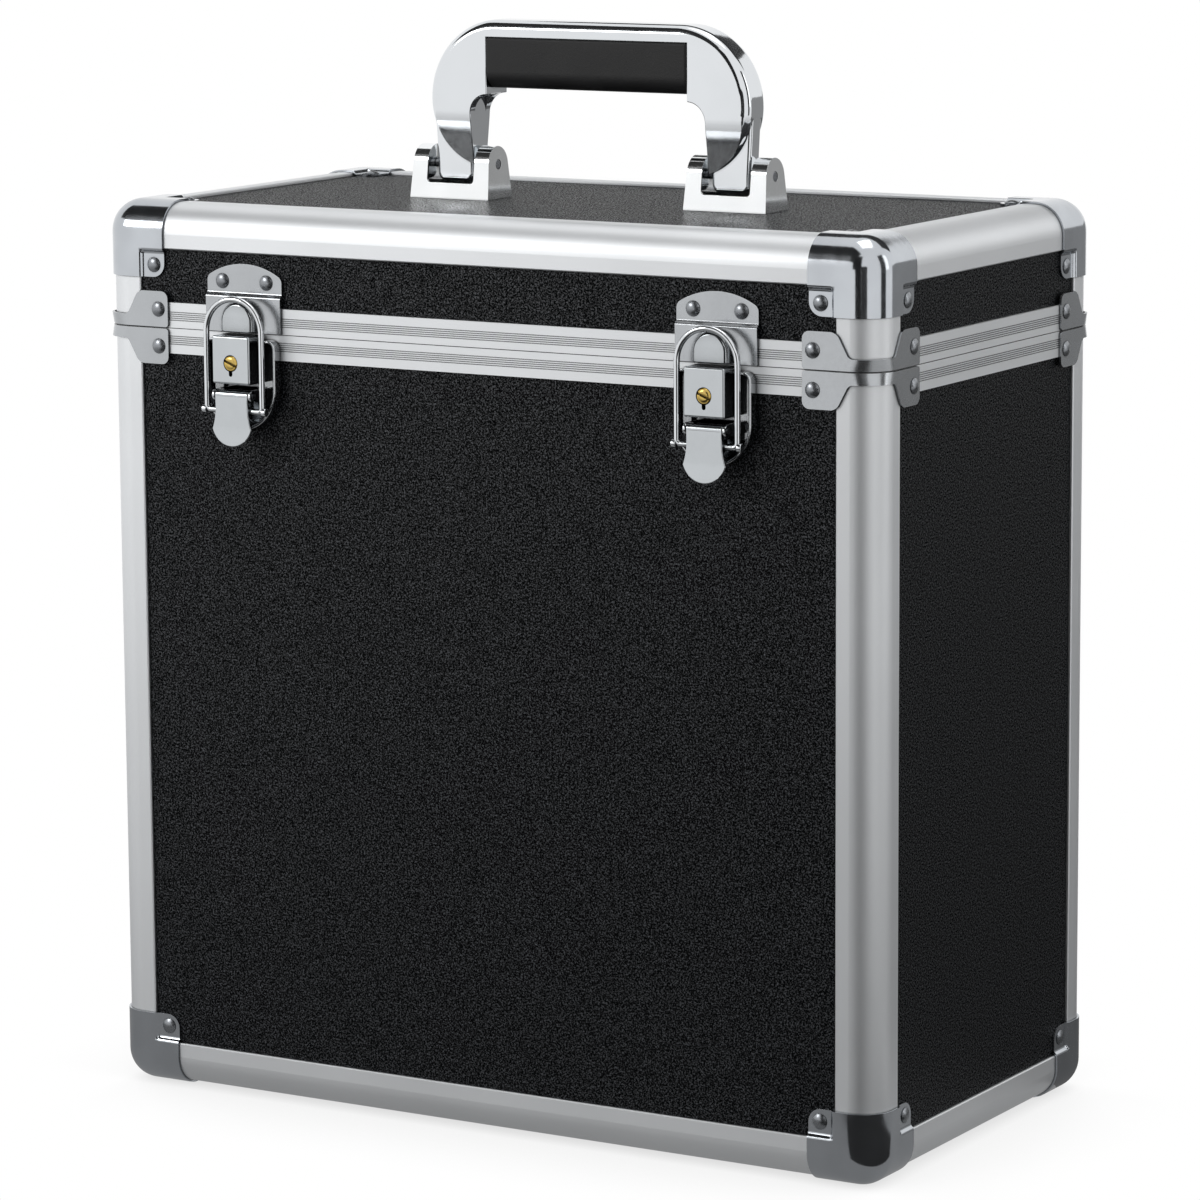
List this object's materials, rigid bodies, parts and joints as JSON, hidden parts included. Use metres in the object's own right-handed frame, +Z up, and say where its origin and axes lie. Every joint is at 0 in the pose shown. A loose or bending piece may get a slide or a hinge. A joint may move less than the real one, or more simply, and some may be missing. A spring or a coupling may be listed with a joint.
{
  "type": "record carrying case",
  "caption": "Upright record carrying case: black laminate panels in aluminium edging, ball corners, hinged lid with locking draw latches and a folding handle",
  "frame": {"origin": "middle of the case's footprint, on the floor under the bottom ball corners", "axes": "+Z up, -Y towards the front with the latches, +X to the right seen from the front"},
  "size_m": [0.3544, 0.2025, 0.433],
  "materials": {
    "laminate": "fine pebbled black melamine laminate on fibreboard",
    "aluminium": "satin anodised extrusion",
    "nickel": "nickel-plated pressed steel, semi-gloss",
    "chrome": "bright chrome plate",
    "rivet_steel": "zinc-plated steel",
    "brass": "machined brass",
    "foam": "black cross-linked foam sheet",
    "grip": "matt soft-touch moulding"
  },
  "bodies": {
    "base": {"base_front_panel": "laminate", "base_back_panel": "laminate", "base_left_panel": "laminate", "base_right_panel": "laminate", "base_bottom_panel": "laminate", "base_corner_posts": "aluminium", "base_front_rail": "aluminium", "base_back_rail": "aluminium", "base_left_rail": "aluminium", "base_right_rail": "aluminium", "base_front_rim": "aluminium", "base_back_rim": "aluminium", "base_left_rim": "aluminium", "base_right_rim": "aluminium", "base_corner_caps": "nickel", "base_seam_brackets": "nickel", "base_rivets": "rivet_steel", "base_wall_lining": "foam", "base_floor_lining": "foam", "left_hinge_base_leaf": "nickel", "right_hinge_base_leaf": "nickel", "hinge_pins": "rivet_steel", "left_latch_base": "chrome", "right_latch_base": "chrome", "lever_pins": "rivet_steel"},
    "lid": {"lid_top_panel": "laminate", "lid_front_panel": "laminate", "lid_back_panel": "laminate", "lid_left_panel": "laminate", "lid_right_panel": "laminate", "lid_corner_posts": "aluminium", "lid_front_rail": "aluminium", "lid_back_rail": "aluminium", "lid_left_rail": "aluminium", "lid_right_rail": "aluminium", "lid_front_rim": "aluminium", "lid_back_rim": "aluminium", "lid_left_rim": "aluminium", "lid_right_rim": "aluminium", "lid_corner_caps": "nickel", "lid_seam_brackets": "nickel", "lid_rivets": "rivet_steel", "lid_lining": "foam", "left_hinge_lid_leaf": "nickel", "right_hinge_lid_leaf": "nickel", "left_latch_catch": "chrome", "right_latch_catch": "chrome", "left_handle_bracket": "chrome", "right_handle_bracket": "chrome", "handle_pins": "rivet_steel"},
    "handle": {"handle_frame": "chrome", "handle_grip": "grip", "handle_screws": "rivet_steel"},
    "left_lever": {"left_latch_lever": "chrome"},
    "right_lever": {"right_latch_lever": "chrome"},
    "left_bail": {"left_latch_bail": "chrome"},
    "right_bail": {"right_latch_bail": "chrome"},
    "left_lock": {"left_lock_plug": "brass"},
    "right_lock": {"right_lock_plug": "brass"}
  },
  "joints": [
    {"name": "lid_hinge", "type": "hinge", "parent": "base", "child": "lid", "pos_m": [0, 0.0957, 0.3127], "axis": [-1, 0, 0], "range_deg": [0, 100]},
    {"name": "handle_pivot", "type": "hinge", "parent": "lid", "child": "handle", "pos_m": [0, 0, 0.3746], "axis": [1, 0, 0], "range_deg": [-82, 82]},
    {"name": "left_lever_pivot", "type": "hinge", "parent": "base", "child": "left_lever", "pos_m": [-0.107, -0.1007, 0.2887], "axis": [-1, 0, 0], "range_deg": [0, 115]},
    {"name": "left_bail_pivot", "type": "hinge", "parent": "left_lever", "child": "left_bail", "pos_m": [-0.107, -0.1004, 0.2827], "axis": [-1, 0, 0], "range_deg": [-184, 0]},
    {"name": "left_lock_turn", "type": "hinge", "parent": "base", "child": "left_lock", "pos_m": [-0.107, -0.1005, 0.3016], "axis": [0, -1, 0], "range_deg": [0, 90]},
    {"name": "right_lever_pivot", "type": "hinge", "parent": "base", "child": "right_lever", "pos_m": [0.107, -0.1007, 0.2887], "axis": [-1, 0, 0], "range_deg": [0, 115]},
    {"name": "right_bail_pivot", "type": "hinge", "parent": "right_lever", "child": "right_bail", "pos_m": [0.107, -0.1004, 0.2827], "axis": [-1, 0, 0], "range_deg": [-184, 0]},
    {"name": "right_lock_turn", "type": "hinge", "parent": "base", "child": "right_lock", "pos_m": [0.107, -0.1005, 0.3016], "axis": [0, -1, 0], "range_deg": [0, 90]}
  ],
  "couplings": [
    {"joint": "left_bail_pivot", "follows": "left_lever_pivot", "ratio": -1.6},
    {"joint": "right_bail_pivot", "follows": "right_lever_pivot", "ratio": -1.6}
  ]
}
